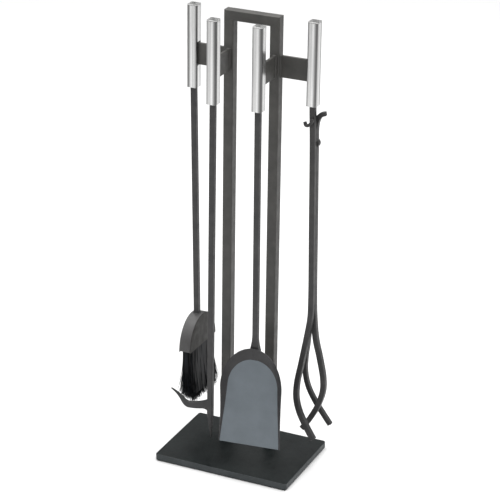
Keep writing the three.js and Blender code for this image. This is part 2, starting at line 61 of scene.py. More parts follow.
# each bead: its depth in the metal, its height, its belly's reach and height, and its whole reach
FOOT_BEAD = (0.6, 1.5, 0.5, 0.62, 1.3)
ARM_BEAD = (0.5, 1.25, 0.55, 0.75, 1.1)
HOOD_BEAD = (0.6, 2.1, 0.7, 0.8, 1.8)
HOOD_BEAD_OUT, HOOD_BEAD_SINK = 1.5, 0.3

# ---- handles ----
HANDLE, HANDLE_WALL, HANDLE_R = 18.2, 1.5, 2.4
HANDLE_BOTTOM, CAP_T = 667, 1.6
HANDLE_TOP = HEIGHT - CAP_T
LID_GAP, LID_PLUG, LID_PLAY = 0.25, 6, 0.6
WINDOW_HALF, WINDOW_LOW, WINDOW_HIGH = 6, 706.8, 747.8
ACROSS = "across_side"
# painted reflection and shade: the tone across each flat side of a handle tube, from corner to corner
SIDE_REFLECTION_TONES = ((0.0, 0.13), (0.13, 0.20), (0.24, 0.38), (0.40, 0.95), (0.50, 0.88), (0.60, 0.68), (0.72, 0.78),
              (0.86, 0.50), (1.0, 0.14))

# ---- tools ----
SIDE_X = UPRIGHT_X + TUBE / 2 + SIDE_REACH
FRONT_Y = HOOP_FRONT - FRONT_REACH
ROD, ROD_R, ROD_TOP = 9.6, 1.1, 690
SHOVEL_ROD_LOW = 212
LEAN_BRUSH, LEAN_POKER, LEAN_SHOVEL = 0.95, -0.2, 0.18
HOOD_T, HOOD_HALF, HOOD_BOTTOM, HOOD_H, HOOD_WALL, HOOD_SINK = 22, 52.5, 187, 58, 1.6, 7
POKER_TIP, TAPER_TOP, POKER_TIP_SHIFT, POKER_TIP_SHARE, POKER_STEPS = 39.5, 87.4, 1.5, 0.14, 28
HOOK_Z, HOOK_TURN, HOOK_T, HOOK_THIN = 108, 15, 7.4, 0.62
HOOK_NECK, HOOK_DEPTH, HOOK_REACH, HOOK_RISE = 37.5, 11, 70.5, 24
PAN_TURN = 6.8
PAN_LIP_Z, PAN_LIP_FORWARD, PAN_TOP_Z, PAN_TOP_FORWARD = 61.5, 31.5, 216, 6.7
PAN_LIP_HALF, PAN_SIDE_HALF, PAN_SIDE_V = 54.3, 47, 105
PAN_SHEET, PAN_LIP_FLARE, PAN_FLARE, PAN_END_FLARE = 1.5, 2, 7, 21
PAN_LIP_RISE, PAN_RISE, PAN_END_RISE = 1, 10, 7
FLARE_TOP, FLARE_LENGTH, FLARE_SIDE, FLARE_FRONT = 262, 32, 4.6, 2.2
PIVOT_X, PIVOT_Z, EYE_R = 112.2, 598.5, 8
REAR_PRONG, BAR_SPACE, LEVER_THIN, LEVER_SHARE = 8.4, 0.6, 0.74, 0.035
WASHER_R, WASHER_T, WASHER_PLAY = 6, 1.1, 0.25
REST_W, REST_T, REST_R = 5.2, 5.6, 1.6
MAIN_Y = HOOP_Y
SWING_Y = MAIN_Y + ROD + BAR_SPACE

# ---- bristles ----
TUFT_ROWS, TUFT_COLUMNS, STRANDS, STRANDS_QUICK = 3, 17, 34, 12
TUFT_ROOT_X, TUFT_ROOT_Y, TUFT_KNEE = 7.6, 47.4, 46
TUFT_FRONT, TUFT_LENGTH, TUFT_HALF_WIDTH, TUFT_LOW = -49.5, 112.5, 12.2, 86
TUFT_FRONT_RISE, TUFT_BACK_RISE = 24, 17
TIP_LOWEST, TIP_FRONT, TIP_BACK = 82, -50.5, 65
BRISTLE_DROP, BRISTLE_FAN, BRISTLE_LOWER = 5, 2.5, 2.5
CORE_ROOT_X, CORE_ROOT_Y, CORE_SQUARE = 7.2, 47, 0.45
CORE_WIDTH, CORE_LENGTH, CORE_MIDDLE, CORE_SHORT, CORE_UNEVEN = 0.86, 0.94, 10, 13, 3.5


# ---------------------------------------------------------------- materials
FINE_STREAKS = (2600, 2600, 9)
BROAD_STREAKS = (420, 420, 3)
FINE_SHARE, BROAD_SHARE = 0.55, 0.45


def shader(name, colour, rough, metallic=0.0, specular=0.5, anisotropic=0.0):
    """A material with a Principled shader, and its node tree."""
    made = bpy.data.materials.new(name)
    made.use_nodes = True
    tree = made.node_tree
    bsdf = tree.nodes["Principled BSDF"]
    bsdf.inputs["Base Color"].default_value = (*colour, 1)
    bsdf.inputs["Roughness"].default_value = rough
    bsdf.inputs["Metallic"].default_value = metallic
    bsdf.inputs["Specular IOR Level"].default_value = specular
    bsdf.inputs["Anisotropic"].default_value = anisotropic
    return made, tree, bsdf


def coordinates(tree, stretch=(1, 1, 1)):
    where = tree.nodes.new("ShaderNodeTexCoord")
    mapping = tree.nodes.new("ShaderNodeMapping")
    mapping.inputs["Scale"].default_value = stretch
    tree.links.new(where.outputs["Object"], mapping.inputs["Vector"])
    return mapping.outputs["Vector"]


def noise_of(tree, vector, scale, detail=3.0, roughness=0.55):
    node = tree.nodes.new("ShaderNodeTexNoise")
    node.inputs["Scale"].default_value = scale
    node.inputs["Detail"].default_value = detail
    node.inputs["Roughness"].default_value = roughness
    tree.links.new(vector, node.inputs["Vector"])
    return node.outputs["Fac"]


def ramp(tree, value, stops, socket):
    """value runs through a colour ramp of (position, colour) stops into socket."""
    node = tree.nodes.new("ShaderNodeValToRGB")
    elements = node.color_ramp.elements
    while len(elements) < len(stops):
        elements.new(0.5)
    for element, (position, colour) in zip(elements, stops):
        element.position = position
        element.color = (*colour, 1)
    tree.links.new(value, node.inputs["Fac"])
    tree.links.new(node.outputs["Color"], socket)


def spread(tree, value, low, high, socket):
    """value, mostly 0.3 to 0.7, is mapped to low and high and goes into socket."""
    node = tree.nodes.new("ShaderNodeMapRange")
    node.inputs["From Min"].default_value = 0.3
    node.inputs["From Max"].default_value = 0.7
    node.inputs["To Min"].default_value = low
    node.inputs["To Max"].default_value = high
    tree.links.new(value, node.inputs["Value"])
    tree.links.new(node.outputs["Result"], socket)


def bump(tree, bsdf, height, strength, distance, after=None):
    node = tree.nodes.new("ShaderNodeBump")
    node.inputs["Strength"].default_value = strength
    node.inputs["Distance"].default_value = distance
    tree.links.new(height, node.inputs["Height"])
    if after is not None:
        tree.links.new(after, node.inputs["Normal"])
    tree.links.new(node.outputs["Normal"], bsdf.inputs["Normal"])
    return node.outputs["Normal"]


def painted(name, dark, light, rough, grain=1100, grain_depth=0.00012, waves=0.0, specular=0.5):
    """Powder coat or enamel: fine orange peel, cloudy colour and sheen, and slow waves on forged pieces."""
    made, tree, bsdf = shader(name, dark, rough, specular=specular)
    vector = coordinates(tree)
    cloud = noise_of(tree, vector, 38, 4)
    ramp(tree, cloud, [(0.32, dark), (0.68, light)], bsdf.inputs["Base Color"])
    spread(tree, noise_of(tree, vector, 90, 3), rough - 0.07, rough + 0.09, bsdf.inputs["Roughness"])
    normal = bump(tree, bsdf, noise_of(tree, vector, grain, 2), 0.35, grain_depth)
    if waves:
        bump(tree, bsdf, noise_of(tree, vector, 75, 2), 0.5, waves, normal)
    return made


def brushed(name, dark, light, rough):
    """Metal brushed lengthwise: long fine streaks in colour, gloss and height."""
    made, tree, bsdf = shader(name, light, rough, metallic=1.0, anisotropic=0.45)
    fine = coordinates(tree, FINE_STREAKS)
    broad = coordinates(tree, BROAD_STREAKS)
    streaks = noise_of(tree, fine, 1, 3, 0.6)
    bands = noise_of(tree, broad, 1, 3, 0.6)
    mixed = tree.nodes.new("ShaderNodeMath")
    mixed.operation = "MULTIPLY_ADD"
    mixed.inputs[1].default_value = BROAD_SHARE
    tree.links.new(bands, mixed.inputs[0])
    fine_part = tree.nodes.new("ShaderNodeMath")
    fine_part.operation = "MULTIPLY"
    fine_part.inputs[1].default_value = FINE_SHARE
    tree.links.new(streaks, fine_part.inputs[0])
    tree.links.new(fine_part.outputs[0], mixed.inputs[2])
    ramp(tree, mixed.outputs[0], [(0.34, dark), (0.64, light)], bsdf.inputs["Base Color"])
    spread(tree, mixed.outputs[0], rough + 0.08, rough - 0.05, bsdf.inputs["Roughness"])
    bump(tree, bsdf, streaks, 0.12, 0.00004)
    return made


def tube_steel(name, rough):
    """Brushed square tube with a painted reflection: each flat side is painted brightest along its middle and
    darker to the corners.
    """
    made, tree, bsdf = shader(name, (0.5, 0.5, 0.5), rough, metallic=1.0, anisotropic=0.45)
    product = tree.nodes.new("ShaderNodeMix")
    product.data_type = "RGBA"
    product.blend_type = "MULTIPLY"
    product.inputs["Factor"].default_value = 1.0
    band, shade = [socket for socket in product.inputs if socket.type == "RGBA"]
    across = tree.nodes.new("ShaderNodeUVMap")
    across.uv_map = ACROSS
    parts = tree.nodes.new("ShaderNodeSeparateXYZ")
    tree.links.new(across.outputs["UV"], parts.inputs[0])
    # the painted reflection: tone by place across the side
    ramp(tree, parts.outputs["X"], [(at, (tone, tone, tone)) for at, tone in SIDE_REFLECTION_TONES], band)
    streaks = noise_of(tree, coordinates(tree, FINE_STREAKS), 1, 3, 0.6)
    ramp(tree, streaks, [(0.36, (0.70, 0.70, 0.70)), (0.62, (1.0, 1.0, 0.99))], shade)
    result = next(socket for socket in product.outputs if socket.type == "RGBA")
    tree.links.new(result, bsdf.inputs["Base Color"])
    spread(tree, streaks, rough + 0.08, rough - 0.05, bsdf.inputs["Roughness"])
    bump(tree, bsdf, streaks, 0.12, 0.00004)
    return made


def rubber(name):
    made, tree, bsdf = shader(name, (0.02, 0.02, 0.02), 0.85, specular=0.3)
    vector = coordinates(tree)
    ramp(tree, noise_of(tree, vector, 60, 4), [(0.3, (0.014, 0.014, 0.014)), (0.7, (0.028, 0.028, 0.027))],
         bsdf.inputs["Base Color"])
    spread(tree, noise_of(tree, vector, 200, 3), 0.75, 0.95, bsdf.inputs["Roughness"])
    bump(tree, bsdf, noise_of(tree, vector, 1500, 3), 0.6, 0.0003)
    return made


def fibres(name):
    """Black synthetic bristles whose tone varies from strand to strand, some painted lighter and bluer as
    highlights.
    """
    made, tree, bsdf = shader(name, (0.012, 0.013, 0.016), 0.5, specular=0.12)
    vector = coordinates(tree, (900, 900, 14))
    strands = noise_of(tree, vector, 1, 2)
    # the last stop is a painted highlight: a lighter cool colour on some strands
    stops = [(0.35, (0.0015, 0.0015, 0.002)), (0.58, (0.004, 0.0045, 0.006)), (0.68, (0.018, 0.022, 0.030))]
    ramp(tree, strands, stops, bsdf.inputs["Base Color"])
    spread(tree, strands, 0.36, 0.58, bsdf.inputs["Roughness"])
    bump(tree, bsdf, strands, 0.3, 0.0002)
    return made


POWDER = painted("powder_coat", (0.043, 0.042, 0.039), (0.063, 0.061, 0.056), 0.5, waves=0.0001)
# the base plate's coat in two copies, painted light and shade: the top darker, the sides lighter
BASE_SHADED_TOP_POWDER = painted("powder_coat_base", (0.004, 0.006, 0.0062), (0.008, 0.011, 0.011), 0.42, specular=0.25)
BASE_EDGE = painted("powder_coat_base_lit_sides", (0.024, 0.030, 0.032), (0.036, 0.043, 0.046), 0.45, specular=0.4)
FORGED = painted("forged_enamel", (0.023, 0.023, 0.024), (0.039, 0.038, 0.038), 0.5, grain=900, waves=0.00035)
# the hood enamel in two copies, painted light and shade: the rim and arch lighter, the flat sides darker
HOOD_PAINT = painted("hood_enamel", (0.046, 0.045, 0.045), (0.076, 0.074, 0.074), 0.48, waves=0.0002)
HOOD_SHADED_SIDE = painted("hood_shaded_side_enamel", (0.013, 0.0118, 0.0098), (0.024, 0.022, 0.018), 0.55, waves=0.0002,
                    specular=0.35)
# the pan's floor is painted lighter and bluer as a painted reflection; the walls keep the dark enamel
PAN_FLOOR = painted("pan_floor_reflection_enamel", (0.118, 0.140, 0.158), (0.138, 0.162, 0.182), 0.46, waves=0.0001)
PAN_WALL = painted("pan_wall_enamel", (0.014, 0.0135, 0.015), (0.022, 0.021, 0.022), 0.46, waves=0.0001)
STAINLESS = brushed("brushed_stainless", (0.36, 0.36, 0.355), (0.78, 0.78, 0.77), 0.27)
HANDLE_STEEL_PAINTED_REFLECTION = tube_steel("brushed_tube_steel_painted_reflection", 0.27)
ZINC = brushed("zinc_plated", (0.30, 0.31, 0.32), (0.52, 0.53, 0.54), 0.4)
RUBBER = rubber("rubber_pad")
FIBRE = fibres("bristle_fibre")
BLOCK = painted("block_plastic", (0.014, 0.014, 0.015), (0.024, 0.024, 0.026), 0.6)


# ---------------------------------------------------------------- shape helpers
EASE_STEPS = 4


def rounded_rect(width, depth, radius, steps=5):
    """Corner by corner, anticlockwise from the corner at +x, -y."""
    points = []
    for sx, sy, start in ((1, -1, -90), (1, 1, 0), (-1, 1, 90), (-1, -1, 180)):
        cx, cy = sx * (width / 2 - radius), sy * (depth / 2 - radius)
        for i in range(steps + 1):
            a = math.radians(start + 90 * i / steps)
            points.append((cx + radius * math.cos(a), cy + radius * math.sin(a)))
    return points


def circle(radius, count=40):
    turns = [math.tau * i / count for i in range(count)]
    return [(radius * math.cos(turn), radius * math.sin(turn)) for turn in turns]


def piece(name, bm, material, body, nodes=(), sharp=38, weighted=True):
    """Turns bm, in millimetres, into an object that rides on body and stands for the CAD nodes."""
    bmesh.ops.recalc_face_normals(bm, faces=bm.faces)
    bmesh.ops.scale(bm, vec=(MM, MM, MM), verts=bm.verts)
    data = bpy.data.meshes.new(name)
    bm.to_mesh(data)
    bm.free()
    data.shade_smooth()
    data.set_sharp_from_angle(angle=math.radians(sharp))
    obj = bpy.data.objects.new(name, data)
    scene.collection.objects.link(obj)
    for one in material if isinstance(material, (list, tuple)) else [material]:
        data.materials.append(one)
    if weighted:
        modifier = obj.modifiers.new("even_normals", "WEIGHTED_NORMAL")
        modifier.keep_sharp = True
    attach(obj, body)
    if nodes:
        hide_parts(*nodes)
    return obj


def loft(bm, rings, closed=True, caps=(True, True)):
    """Skins a row of rings that have equal numbers of points. Returns the rings' vertices."""
    rows = [[bm.verts.new(p) for p in ring] for ring in rings]
    count = len(rings[0])
    for a, b in zip(rows, rows[1:]):
        for i in range(count if closed else count - 1):
            j = (i + 1) % count
            bm.faces.new((a[i], a[j], b[j], b[i]))
    if caps[0]:
        bm.faces.new(list(reversed(rows[0])))
    if caps[1]:
        bm.faces.new(rows[-1])
    return rows


def eased(low, high, ease, steps=3):
    """Stations (position, inset) of a bar whose two ends are rounded by ease."""
    start = []
    for i in range(steps + 1):
        a = math.pi / 2 * i / steps
        start.append((low + ease * (1 - math.sin(a)), ease * (1 - math.cos(a))))
    start = [(p, inset) for p, inset in reversed(start)]
    finish = [(low + high - p, inset) for p, inset in reversed(start)]
    return start + finish


def bar(bm, outline, low, high, ease=0.5, ease_low=True, ease_high=True):
    """An upright bar. outline(inset) gives its section shrunk by inset."""
    stations = eased(low, high, ease)
    half = len(stations) // 2
    if not ease_low:
        stations = [(low, 0)] + stations[half:]
        half = 1
    if not ease_high:
        stations = stations[:half] + [(high, 0)]
    return loft(bm, [[Vector((x, y, z)) for x, y in outline(inset)] for z, inset in stations])


def square_section(width, radius, steps=4):
    return lambda inset: rounded_rect(width - 2 * inset, width - 2 * inset, max(radius - inset, 0.05), steps)


def round_edges(bm, edges, width, segments):
    bmesh.ops.bevel(bm, geom=edges, offset=width, segments=segments, profile=0.5, affect="EDGES",
                    clamp_overlap=True)


def soften(bm, width, segments=2, angle=35):
    """Rounds every edge that is sharper than angle."""
    bm.normal_update()
    edges = [e for e in bm.edges if len(e.link_faces) == 2 and e.calc_face_angle(0) > math.radians(angle)]
    round_edges(bm, edges, width, segments)


def plate(bm, outline, thickness, ease, segments=3):
    """A plate in the XZ plane, centred on y = 0, with rounded edges."""
    front = [bm.verts.new((x, -thickness / 2, z)) for x, z in outline]
    back = [bm.verts.new((x, thickness / 2, z)) for x, z in outline]
    count = len(outline)
    bm.faces.new(front)
    bm.faces.new(list(reversed(back)))
    for i in range(count):
        j = (i + 1) % count
        bm.faces.new((front[j], front[i], back[i], back[j]))
    bmesh.ops.recalc_face_normals(bm, faces=bm.faces)
    if ease:
        rim = [e for e in bm.edges if all(abs(abs(v.co.y) - thickness / 2) < 1e-6 for v in e.verts)
               and e.verts[0].co.y * e.verts[1].co.y > 0]
        round_edges(bm, rim, ease, segments)


def catmull(points, count):
    """Centripetal Catmull-Rom through points, sampled evenly in length, at count + 1 places."""
    pts = [Vector(p) for p in points]
    pts = [pts[0] * 2 - pts[1]] + pts + [pts[-1] * 2 - pts[-2]]
    fine = []
    for i in range(1, len(pts) - 2):
        p0, p1, p2, p3 = pts[i - 1:i + 3]
        t0 = 0.0
        t1 = t0 + math.sqrt((p1 - p0).length)
        t2 = t1 + math.sqrt((p2 - p1).length)
        t3 = t2 + math.sqrt((p3 - p2).length)
        for k in range(40):
            t = t1 + (t2 - t1) * k / 40
            a1 = p0 * ((t1 - t) / (t1 - t0)) + p1 * ((t - t0) / (t1 - t0))
            a2 = p1 * ((t2 - t) / (t2 - t1)) + p2 * ((t - t1) / (t2 - t1))
            a3 = p2 * ((t3 - t) / (t3 - t2)) + p3 * ((t - t2) / (t3 - t2))
            b1 = a1 * ((t2 - t) / (t2 - t0)) + a2 * ((t - t0) / (t2 - t0))
            b2 = a2 * ((t3 - t) / (t3 - t1)) + a3 * ((t - t1) / (t3 - t1))
            fine.append(b1 * ((t2 - t) / (t2 - t1)) + b2 * ((t - t1) / (t2 - t1)))
    fine.append(pts[-2])
    return even(fine, count)


def even(fine, count):
    """A polyline resampled at count + 1 places that are equally far apart."""
    lengths = [0.0]
    for a, b in zip(fine, fine[1:]):
        lengths.append(lengths[-1] + (b - a).length)
    made, k = [], 0
    for i in range(count + 1):
        want = lengths[-1] * i / count
        while k < len(fine) - 2 and lengths[k + 1] < want:
            k += 1
        share = (want - lengths[k]) / max(lengths[k + 1] - lengths[k], 1e-9)
        made.append(fine[k].lerp(fine[k + 1], min(max(share, 0), 1)))
    return made


def sweep(bm, path, section, ease=0.6, side=Vector((0, 1, 0)), size=None):
    """section(inset) swept along path. Its y axis stays as near to side as it can; size(share) scales it."""
    last = len(path) - 1

    def ring(i, inset, shift):
        along = (path[min(i + 1, last)] - path[max(i - 1, 0)]).normalized()
        v = (side - along * side.dot(along)).normalized()
        u = v.cross(along)
        scale = size(i / last) if size else 1.0
        middle = path[i] + along * shift
        return [middle + (u * x + v * y) * scale for x, y in section(inset)]

    def end_ring(i, k, inward):
        a = math.pi / 2 * k / EASE_STEPS
        return ring(i, ease * (1 - math.sin(a)), inward * ease * (1 - math.cos(a)))

    rings = [end_ring(0, k, 1) for k in range(EASE_STEPS)]
    rings.append(ring(0, 0, ease))
    for i in range(1, last):
        if (path[i] - path[0]).length > ease * 1.2 and (path[i] - path[last]).length > ease * 1.2:
            rings.append(ring(i, 0, 0))
    rings.append(ring(last, 0, -ease))
    rings += [end_ring(last, k, -1) for k in reversed(range(EASE_STEPS))]
    return loft(bm, rings)


def bead_ring(p, out, up, grow, profile):
    """A bead of weld where p is in the corner between metal that goes along out and metal that goes up."""
    root, high, belly, belly_high, reach = profile
    return [p - out * root + up * (high * grow), p + out * (belly * grow) + up * (belly_high * grow),
            p + out * (reach * grow), p - out * root]


def bead(bm, rings):
    """Closes a run of bead rings on itself."""
    loft(bm, rings + [rings[0]], caps=(False, False))
    bmesh.ops.remove_doubles(bm, verts=bm.verts, dist=0.001)


def square_path(width, radius, count):
    """Evenly spaced points round a rounded square, once round."""
    points = [Vector((x, y, 0)) for x, y in rounded_rect(width, width, radius, 4)]
    return even(points + [points[0]], count)[:-1]


def placed(bm, matrix):
    bmesh.ops.transform(bm, matrix=matrix, verts=bm.verts)
    return bm


def leaning(x, y, degrees):
    """Turns a tool's lower part about the lower end of its handle, which is at x, y."""
    turn = Matrix.Rotation(-math.radians(degrees), 4, "Y")
    return Matrix.Translation((x, y, HANDLE_BOTTOM)) @ turn @ Matrix.Translation((0, 0, -HANDLE_BOTTOM))


# ---------------------------------------------------------------- stand
def base_plate():
    bm = bmesh.new()
    bar(bm, lambda inset: rounded_rect(BASE_W - 2 * inset, BASE_D - 2 * inset, BASE_CORNER_R - inset, 8),
        BASE_BOTTOM, BASE_TOP, BASE_EDGE_R)
    bm.normal_update()
    for face in bm.faces:
        # the sides take the lighter copy and the top the darker one: painted light and shade
        face.material_index = 1 if abs(face.normal.z) < 0.8 else 0
    piece("stand_base_plate", bm, [BASE_SHADED_TOP_POWDER, BASE_EDGE], "stand", ["base_plate"])


def base_pad():
    bm = bmesh.new()
    width, depth, radius = BASE_W - 2 * PAD_INSET, BASE_D - 2 * PAD_INSET, BASE_CORNER_R - PAD_INSET
    bar(bm, lambda inset: rounded_rect(width - 2 * inset, depth - 2 * inset, radius - inset, 6),
        0, BASE_BOTTOM, 0.3)
    piece("stand_base_pad", bm, RUBBER, "stand", ["base_pad"])


def hoop():
    """The two uprights and the top bar as one tube, with a dressed weld line across each mitre."""
    section = rounded_rect(TUBE, TUBE, TUBE_R, 5)
    groove = rounded_rect(TUBE - MITRE_GROOVE, TUBE - MITRE_GROOVE, TUBE_R, 5)
    middle = HEIGHT - TUBE / 2

    def foot(side):
        return [Vector((side * (UPRIGHT_X - x), HOOP_Y + y, BASE_TOP)) for x, y in section]

    def mitre(side, outline, down=0, along=0):
        """The section cut at 45 degrees, moved down the upright or along the top bar."""
        return [Vector((side * (UPRIGHT_X - x - along), HOOP_Y + y, middle - x - down)) for x, y in outline]

    def corner(side):
        return [mitre(side, section, down=MITRE_FAR), mitre(side, section, down=MITRE_NEAR),
                mitre(side, groove),
                mitre(side, section, along=MITRE_NEAR), mitre(side, section, along=MITRE_FAR)]

    bm = bmesh.new()
    loft(bm, [foot(-1)] + corner(-1) + corner(1)[::-1] + [foot(1)])
    nodes = ["upright_left", "upright_right", "top_bar"]
    piece("stand_hoop", bm, POWDER, "stand", nodes)


def foot_welds():
    """A low fillet of weld round the foot of each upright."""
    bm = bmesh.new()
    for side in (-1, 1):
        foot = Vector((side * UPRIGHT_X, HOOP_Y, BASE_TOP))
        rings = []
        for i, p in enumerate(square_path(TUBE, TUBE_R, 96)):
            grow = 1.15 + 0.22 * math.sin(i * 1.9) + 0.2 * noise.noise(p * 0.9 + Vector((side * 40, 0, 0)))
            rings.append(bead_ring(foot + p, p.normalized(), Vector((0, 0, 1)), grow, FOOT_BEAD))
        bead(bm, rings)
    piece("stand_foot_welds", bm, POWDER, "stand", sharp=70)


def arm(name, node, reach, place):
    """The flat arm with its upturned tip, from the face of the tube."""
    face = reach - HANDLE / 2
    tip = face + ARM_INSERT
    outline = [(-ARM_SINK, ARM_BOTTOM), (face, ARM_BOTTOM), (tip, ARM_BOTTOM + ARM_INSERT),
               (tip, ARM_TOP + ARM_INSERT), (face, ARM_TOP), (-ARM_SINK, ARM_TOP)]
    bm = bmesh.new()
    plate(bm, outline, ARM_T, 0.7)
    piece(name, placed(bm, place), POWDER, "stand", [node])


def arm_weld(name, place):
    """The bead of weld round an arm's root."""
    half_y, half_z = ARM_T / 2, (ARM_TOP - ARM_BOTTOM) / 2
    middle = (ARM_TOP + ARM_BOTTOM) / 2
    corners = [(-half_y, -half_z), (half_y, -half_z), (half_y, half_z), (-half_y, half_z), (-half_y, -half_z)]
    path = even([Vector((0, y, middle + z)) for y, z in corners], 150)[:-1]
    rings = []
    for i, p in enumerate(path):
        across, up = p.y * half_z / half_y, p.z - middle
        sideways = abs(across) > abs(up)
        out = Vector((0, math.copysign(1, across), 0)) if sideways else Vector((0, 0, math.copysign(1, up)))
        grow = WELD_R * (1 + 0.16 * math.sin(i * 1.7) + 0.2 * noise.noise(p * 0.7))
        rings.append(bead_ring(p, out, Vector((1, 0, 0)), grow, ARM_BEAD))
    bm = bmesh.new()
    bead(bm, rings)
    piece(name, placed(bm, place), POWDER, "stand", sharp=70)


def stand():
    base_plate()
    base_pad()
    hoop()
    foot_welds()
    right = Matrix.Translation((UPRIGHT_X + TUBE / 2, HOOP_Y, 0))
    left = Matrix.Translation((-UPRIGHT_X - TUBE / 2, HOOP_Y, 0)) @ Matrix.Rotation(math.pi, 4, "Z")
    arms = [("brush", SIDE_REACH, left), ("tongs", SIDE_REACH, right)]
    for tool, side in (("poker", -1), ("shovel", 1)):
        place = Matrix.Translation((side * UPRIGHT_X, HOOP_FRONT, 0)) @ Matrix.Rotation(-math.pi / 2, 4, "Z")
        arms.append((tool, FRONT_REACH, place))
    for tool, reach, place in arms:
        arm(f"stand_arm_{tool}", f"arm_{tool}", reach, place)
        arm_weld(f"stand_weld_{tool}", place)


# ---------------------------------------------------------------- handles
def handle_ring(width, radius):
    """A rounded square whose +x side has a point at each edge of the window."""
    corners = rounded_rect(width, width, radius, 6)
    per = len(corners) // 4
    return [(width / 2, -WINDOW_HALF), (width / 2, WINDOW_HALF)] + corners[per:] + corners[:per]


def handle_tube(tool, place):
    bm = bmesh.new()
    outer = handle_ring(HANDLE, HANDLE_R)
    inner = handle_ring(HANDLE - 2 * HANDLE_WALL, HANDLE_R - HANDLE_WALL)
    heights = (HANDLE_BOTTOM, WINDOW_LOW, WINDOW_HIGH, HANDLE_TOP - LID_GAP)
    count = len(outer)
    outs = [[bm.verts.new((x, y, z)) for x, y in outer] for z in heights]
    ins = [[bm.verts.new((x, y, z)) for x, y in inner] for z in heights]
    for level in range(3):
        for i in range(count):
            if level == 1 and i == 0:
                continue
            j = (i + 1) % count
            bm.faces.new((outs[level][i], outs[level][j], outs[level + 1][j], outs[level + 1][i]))
            bm.faces.new((ins[level][j], ins[level][i], ins[level + 1][i], ins[level + 1][j]))
    for i in range(count):
        j = (i + 1) % count
        bm.faces.new((outs[0][j], outs[0][i], ins[0][i], ins[0][j]))
        bm.faces.new((outs[3][i], outs[3][j], ins[3][j], ins[3][i]))
    bm.faces.new((outs[1][0], outs[2][0], ins[2][0], ins[1][0]))
    bm.faces.new((outs[2][1], outs[1][1], ins[1][1], ins[2][1]))
    bm.faces.new((outs[1][1], outs[1][0], ins[1][0], ins[1][1]))
    bm.faces.new((outs[2][0], outs[2][1], ins[2][1], ins[2][0]))
    bmesh.ops.recalc_face_normals(bm, faces=bm.faces)
    soften(bm, 0.3, 2, 50)
    bm.normal_update()
    # the across_side map gives each point's place across its flat side, for the painted reflection
    layer = bm.loops.layers.uv.new(ACROSS)
    for face in bm.faces:
        side_on = abs(face.normal.y) > abs(face.normal.x)
        for loop in face.loops:
            x, y, z = loop.vert.co
            loop[layer].uv = (0.5 + (x if side_on else y) / HANDLE, z / HEIGHT)
    piece(f"{tool}_handle_tube", placed(bm, place), HANDLE_STEEL_PAINTED_REFLECTION, tool, [f"{tool}_handle"])


def handle_lid(tool, place):
    bm = bmesh.new()
    bar(bm, lambda inset: rounded_rect(HANDLE - 2 * inset, HANDLE - 2 * inset, HANDLE_R - inset, 6),
        HANDLE_TOP, HEIGHT, 0.45)
    inside = HANDLE - 2 * HANDLE_WALL - LID_PLAY
    bar(bm, lambda inset: rounded_rect(inside - 2 * inset, inside - 2 * inset, 1.0 - inset, 3),
        HANDLE_TOP - LID_PLUG, HANDLE_TOP + 0.3, 0.3, ease_high=False)
    piece(f"{tool}_handle_lid", placed(bm, place), STAINLESS, tool, [f"{tool}_handle_cap"])


def handle(tool, x, y, facing):
    place = Matrix.Translation((x, y, 0)) @ Matrix.Rotation(facing, 4, "Z")
    handle_tube(tool, place)
    handle_lid(tool, place)


# ---------------------------------------------------------------- brush
def arch(half, height, bottom, steps=48):
    turns = [math.pi * i / steps for i in range(steps + 1)]
    return [(half * math.cos(turn), bottom + height * math.sin(turn)) for turn in turns]


def brush_hood(place):
    bm = bmesh.new()
    plate(bm, arch(HOOD_HALF, HOOD_H, HOOD_BOTTOM, 64), HOOD_T, 1.5, 3)
    bm.normal_update()
    floor = [f for f in bm.faces if f.normal.z < -0.99 and f.calc_center_median().z < HOOD_BOTTOM + 0.01]
    bmesh.ops.inset_region(bm, faces=floor, thickness=HOOD_WALL, use_even_offset=True)
    bm.normal_update()
    floor = [f for f in bm.faces if f.normal.z < -0.99 and abs(f.calc_center_median().y) < 1]
    bmesh.ops.translate(bm, verts=list({v for f in floor for v in f.verts}), vec=(0, 0, HOOD_SINK))
    quarter = Matrix.Rotation(math.pi / 2, 4, "Z")
    for face in bm.faces:
        # the flat sides take the darker copy: painted shade
        face.material_index = 1 if abs(face.normal.y) > 0.9 else 0
    paints = [HOOD_PAINT, HOOD_SHADED_SIDE]
    piece("brush_hood_shell", placed(bm, place @ quarter), paints, "brush", ["brush_hood"])


def hood_weld(place):
    """The bead that joins the rod to the top of the hood."""
    top = HOOD_BOTTOM + HOOD_H
    rings = []
    for i, p in enumerate(square_path(ROD, ROD_R, 60)):
        grow = 1 + 0.16 * math.sin(i * 2.1) + 0.2 * noise.noise(p)
        share = (abs(p.y) + HOOD_BEAD_OUT) / HOOD_HALF
        ground = Vector((0, 0, top - HOOD_H * (1 - math.sqrt(1 - share ** 2))))
        ring = bead_ring(p + ground, p.normalized(), Vector((0, 0, 1)), grow, HOOD_BEAD)
        ring[2].z -= HOOD_BEAD_SINK / 2
        ring[3].z -= HOOD_BEAD_SINK
        rings.append(ring)
    bm = bmesh.new()
    bead(bm, rings)
    piece("brush_hood_weld", placed(bm, place), FORGED, "brush", sharp=70)


def tip_at(u, v):
    """Where the tuft's lower end is, for u across and v from front to back, both -1 to 1."""
    y = TUFT_FRONT + TUFT_LENGTH * (v + 1) / 2
    front = max(0.0, (-v - 0.55) / 0.45)
    back = max(0.0, (v - 0.72) / 0.28)
    z = TUFT_LOW + TUFT_FRONT_RISE * front ** 2 + TUFT_BACK_RISE * back ** 2
    return Vector((TUFT_HALF_WIDTH * u, y, z))


